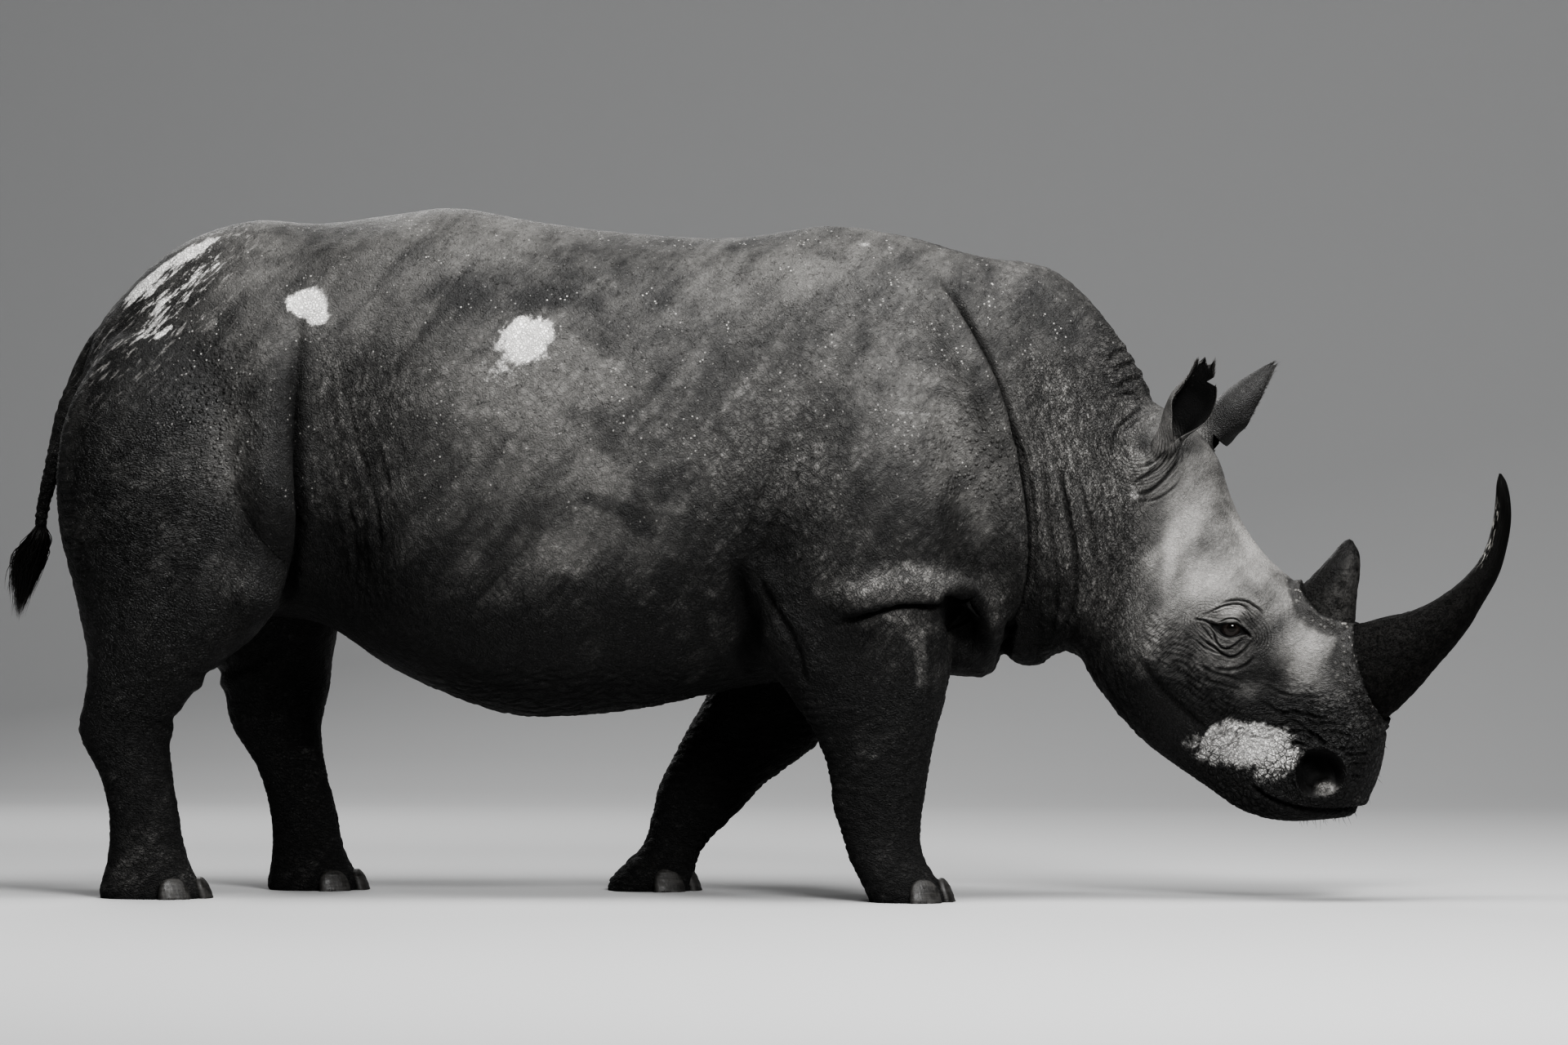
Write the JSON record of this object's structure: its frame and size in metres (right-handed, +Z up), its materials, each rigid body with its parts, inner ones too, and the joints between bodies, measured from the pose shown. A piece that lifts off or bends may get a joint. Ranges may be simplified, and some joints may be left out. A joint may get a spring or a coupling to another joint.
{
  "type": "white rhinoceros",
  "caption": "Life-size still model of an adult white rhinoceros, walking with its head low and turned slightly to its right.",
  "frame": {"origin": "centre of the whole model's box on the ground, between the four feet", "axes": "+X forwards towards the front horn, -Y the animal's right side, +Z up; the four soles lie at z = 0"},
  "size_m": [3.8882, 0.9526, 1.7722],
  "materials": {
    "hide": "thick wrinkled hide, dark grey with dry pale dust and mud above and a damp dark belly and legs",
    "horn": "fibrous horn, granular at the base and worn smooth towards the tip",
    "eye": "wet dark eyeball",
    "nail": "rough worn toenail",
    "tail_hair": "coarse black hair"
  },
  "bodies": {
    "root": {"trunk": "hide", "neck": "hide", "head": "hide", "tail": "hide", "tail_tuft": "tail_hair", "ear_right": "hide", "ear_left": "hide", "eye_right": "eye", "eye_left": "eye", "horn_front": "horn", "horn_rear": "horn", "foreleg_right": "hide", "foreleg_left": "hide", "hindleg_right": "hide", "hindleg_left": "hide", "forefoot_right": "hide", "forefoot_left": "hide", "hindfoot_right": "hide", "hindfoot_left": "hide", "nail_forefoot_right_front": "nail", "nail_forefoot_right_outer": "nail", "nail_forefoot_right_inner": "nail", "nail_forefoot_left_front": "nail", "nail_forefoot_left_outer": "nail", "nail_forefoot_left_inner": "nail", "nail_hindfoot_right_front": "nail", "nail_hindfoot_right_outer": "nail", "nail_hindfoot_right_inner": "nail", "nail_hindfoot_left_front": "nail", "nail_hindfoot_left_outer": "nail", "nail_hindfoot_left_inner": "nail"}
  },
  "joints": []
}
